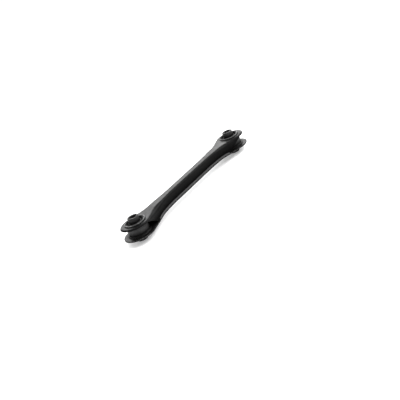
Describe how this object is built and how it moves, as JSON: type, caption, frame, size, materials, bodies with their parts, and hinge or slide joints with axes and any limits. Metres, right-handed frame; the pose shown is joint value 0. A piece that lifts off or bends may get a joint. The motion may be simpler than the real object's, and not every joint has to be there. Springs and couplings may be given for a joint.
{
  "type": "suspension link",
  "caption": "Black pressed-steel suspension link, a welded box-section arm with a round eye and a rubber-metal bush at each end.",
  "frame": {"origin": "midway between the two bush axes, at half the height of the eyes", "axes": "+X along the link from the left eye to the right eye, +Z along the bush axes out of the upper shell"},
  "size_m": [0.359, 0.058, 0.044],
  "materials": {
    "body_coat": "satin black electrocoat over pressed steel",
    "weld_coat": "black electrocoat over a rippled weld bead",
    "tube_coat": "thin black coat over a turned steel tube, lighter than the pressings",
    "can_steel": "dark phosphated steel",
    "sleeve_steel": "dark phosphated steel, lightly worn on the end faces",
    "bush_rubber": "matt moulded natural rubber"
  },
  "bodies": {
    "arm": {"upper_shell": "body_coat", "lower_plate": "body_coat", "seam_weld_near": "weld_coat", "seam_weld_far": "weld_coat", "eye_tube_left": "tube_coat", "eye_welds_left": "weld_coat", "bush_can_left": "can_steel", "bush_rubber_left": "bush_rubber", "eye_tube_right": "tube_coat", "eye_welds_right": "weld_coat", "bush_can_right": "can_steel", "bush_rubber_right": "bush_rubber"},
    "left_sleeve": {"bush_sleeve_left": "sleeve_steel"},
    "right_sleeve": {"bush_sleeve_right": "sleeve_steel"}
  },
  "joints": [
    {"name": "left_bush_twist", "type": "hinge", "parent": "arm", "child": "left_sleeve", "pos_m": [-0.15, 0, 0], "axis": [0, 0, 1], "range_deg": [-20, 20], "stiffness_Nm_per_rad": 40, "deforming": ["bush_rubber_left"]},
    {"name": "right_bush_twist", "type": "hinge", "parent": "arm", "child": "right_sleeve", "pos_m": [0.15, 0, 0], "axis": [0, 0, 1], "range_deg": [-20, 20], "stiffness_Nm_per_rad": 40, "deforming": ["bush_rubber_right"]}
  ]
}
